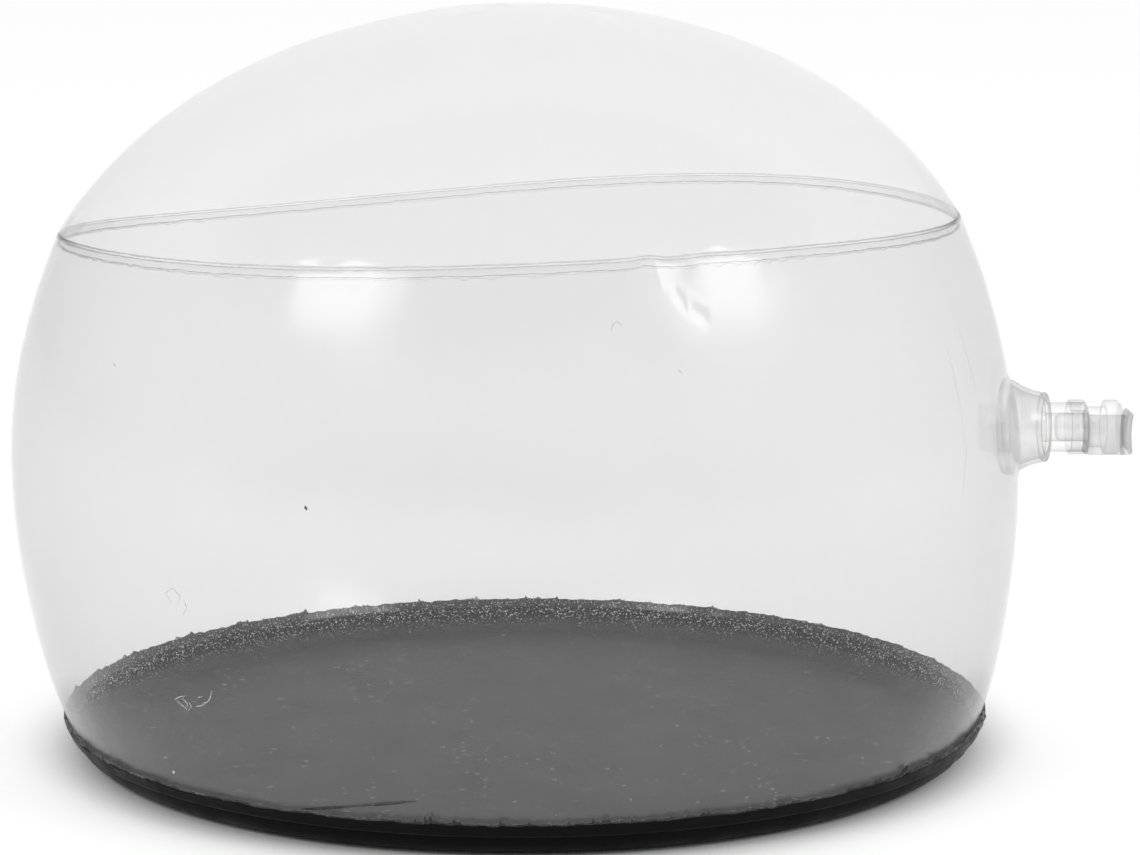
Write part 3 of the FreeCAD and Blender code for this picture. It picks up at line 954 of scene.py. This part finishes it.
def add_valve_pieces():
    """The bell rolls between wall and stem, and the strap stretches between stem and stopper."""
    bell = shoulder(milky)
    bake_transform(bell)
    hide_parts("valve_shoulder")
    tube = stem(soft)
    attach(tube, "valve_stem")
    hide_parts("valve_stem")
    loop = strap(firm)
    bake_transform(loop)
    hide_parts("stopper_strap")


MARKS = {  # points as (azimuth in degrees, height in mm), half width in mm
    "scuff_bar": ([(-130.3, 26.4), (-129.3, 27.3), (-128.2, 27.8)], 0.07, pale),
    "scuff_fold_a": ([(-128.9, 27.2), (-128.3, 26.2), (-128.5, 25.3)], 0.08, pale),
    "scuff_fold_b": ([(-128.1, 26.6), (-127.8, 25.8), (-128.6, 24.4)], 0.06, pale),
    "scuff_fold_c": ([(-129.3, 25.9), (-128.6, 24.9)], 0.07, pale),
    "scuff_fold_d": ([(-129.8, 26.3), (-129.2, 25.3)], 0.05, pale),
    "scuff_haze": ([(-129.4, 26.6), (-128.6, 25.8), (-127.9, 24.9)], 0.35, faint),
    "scuff_arc": ([(-127.2, 26.0), (-126.3, 26.3), (-125.5, 27.1)], 0.07, pale),
    "scuff_arc_end": ([(-125.2, 27.6), (-124.7, 28.6), (-124.5, 29.9)], 0.08, pale),
    "scuff_arc_low": ([(-126.2, 26.8), (-125.3, 27.4), (-124.8, 27.9)], 0.06, pale),
    "scuff_dash": ([(-126.6, 27.9), (-125.9, 28.3)], 0.05, pale),
    "ring_mark": (
        [(-128.6, 46.0), (-129.3, 47.6), (-128.2, 48.8), (-127.2, 47.4), (-127.8, 45.6)], 0.11, faint),
    "ring_mark_tail": ([(-126.8, 47.0), (-126.5, 45.4), (-127.1, 43.8)], 0.1, faint),
    # Painted shade: the two long crease lines are grey strips laid along creases in the film.
    "long_crease": ([(-33.1, 91.9), (-32.6, 80.0), (-32.4, 69.8), (-34.6, 58.3)], 0.06, faint),
    "long_crease_back": ([(-29.0, 96.0), (-28.2, 84.0), (-27.6, 72.0)], 0.05, faint),
    "hook": ([(-79.5, 98.6), (-79.2, 99.9), (-78.7, 100.2), (-78.2, 99.5)], 0.12, faint),
    "nick": ([(-72.5, 91.4), (-72.0, 90.8)], 0.1, faint),
    "speck": ([(-111.6, 67.1), (-111.3, 66.3)], 0.2, dark),
    "nick_left": ([(-139.4, 88.6), (-138.8, 87.8)], 0.12, faint),
    "nick_far_left": ([(-152.4, 89.0), (-151.8, 87.6)], 0.12, faint),
    "dot": ([(-134.1, 10.5), (-133.8, 10.2)], 0.28, pale),
    # Painted shade: a dark strip along the crease by the base.
    "crease_shade_by_base": ([(-116.0, 7.6), (-111.0, 9.0), (-106.5, 10.3), (-102.0, 11.5)], 0.32, shade),
}
KEPT_SHAPES = {  # CAD nodes whose shape is right, and their finish
    "valve_flange": fused,
    "valve_weld_bead": ring_weld,
    "strap_ring": soft,
    "stopper": soft,
    "check_flap": fused,
}


def add_marks():
    """Small handling marks on the film, and grey and dark strips of painted shade along creases."""
    for name, (route, radius, material) in MARKS.items():
        trail = mark(name, route, radius, material)
        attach(trail, "shell")


def finish_kept_nodes():
    """Gives the CAD nodes that stay a better material."""
    for name, material in KEPT_SHAPES.items():
        shown = frame["nodes"][name]
        shown.data.materials.clear()
        shown.data.materials.append(material)


add_film_pieces()
add_valve_pieces()
add_marks()
finish_kept_nodes()

# ---------------------------------------------------------------- floor, light and camera

FLOOR_R = 4.0
WORLD_LEVEL = 1.27
WORLD_TILT = (0.08, 0.25, 0.45)     # the way in which the studio light grows, and how fast
SOFTBOX_POWER = 4.5


def floor():
    material, tree = new_material("pale_floor")
    shader = node(tree, "ShaderNodeBsdfPrincipled", {"Base Color": grey(0.93), "Roughness": 0.9})
    output(tree, shader.outputs[0])
    bpy.ops.mesh.primitive_circle_add(vertices=96, radius=FLOOR_R, fill_type="NGON", location=(0, 0, -0.0001))
    plane = bpy.context.object
    plane.name = "pale_floor"
    plane.data.materials.append(material)


def softbox(name, azimuth_deg, elevation_deg, distance, size, power):
    """Oval light that faces the middle of the object."""
    a, e = math.radians(azimuth_deg), math.radians(elevation_deg)
    middle = Vector((0, 0, 0.09))
    away = Vector((math.cos(a) * math.cos(e), math.sin(a) * math.cos(e), math.sin(e)))
    light = bpy.data.lights.new(name, "AREA")
    light.shape = "ELLIPSE"
    light.size, light.size_y = size
    light.energy = power
    obj = bpy.data.objects.new(name, light)
    obj.location = middle + away * distance
    obj.rotation_euler = away.to_track_quat("Z", "Y").to_euler()
    bpy.context.collection.objects.link(obj)


def world():
    """Studio light all round: brightest overhead and behind, dimmer low down on the camera's side."""
    made = bpy.data.worlds.new("studio")
    made.use_nodes = True
    tree = made.node_tree
    way = node(tree, "ShaderNodeTexCoord").outputs["Generated"]
    tilt = node(tree, "ShaderNodeVectorMath", {0: way, 1: WORLD_TILT}, operation="DOT_PRODUCT")
    tilt = tilt.outputs["Value"]
    level = math_node(tree, "MULTIPLY", math_node(tree, "ADD", tilt, 0.52), WORLD_LEVEL)
    tree.links.new(level, tree.nodes["Background"].inputs["Strength"])
    tree.nodes["Background"].inputs["Color"].default_value = (1, 1, 1, 1)
    bpy.context.scene.world = made


def camera():
    """In front of the object, a little above it, turned slightly towards the valve."""
    data = bpy.data.cameras.new("camera")
    data.sensor_width = 36.0
    data.lens = 109.0
    data.clip_end = 20.0
    obj = bpy.data.objects.new("camera", data)
    down, right = math.radians(9.66), math.radians(0.92)
    obj.location = (0, -0.7086, 0.1856)
    ahead = Vector((math.sin(right) * math.cos(down), math.cos(right) * math.cos(down), -math.sin(down)))
    obj.rotation_euler = ahead.to_track_quat("-Z", "Y").to_euler()
    bpy.context.collection.objects.link(obj)
    bpy.context.scene.camera = obj


floor()
softbox("softbox_left", -136, 36, 1.7, (0.75, 0.6), SOFTBOX_POWER)
softbox("softbox_right", -34, 33, 1.7, (0.75, 0.6), SOFTBOX_POWER)
world()
camera()
scene = bpy.context.scene
scene.view_settings.view_transform = "Standard"
scene.cycles.transparent_max_bounces = 24
scene.cycles.max_bounces = 12
scene.cycles.transmission_bounces = 12
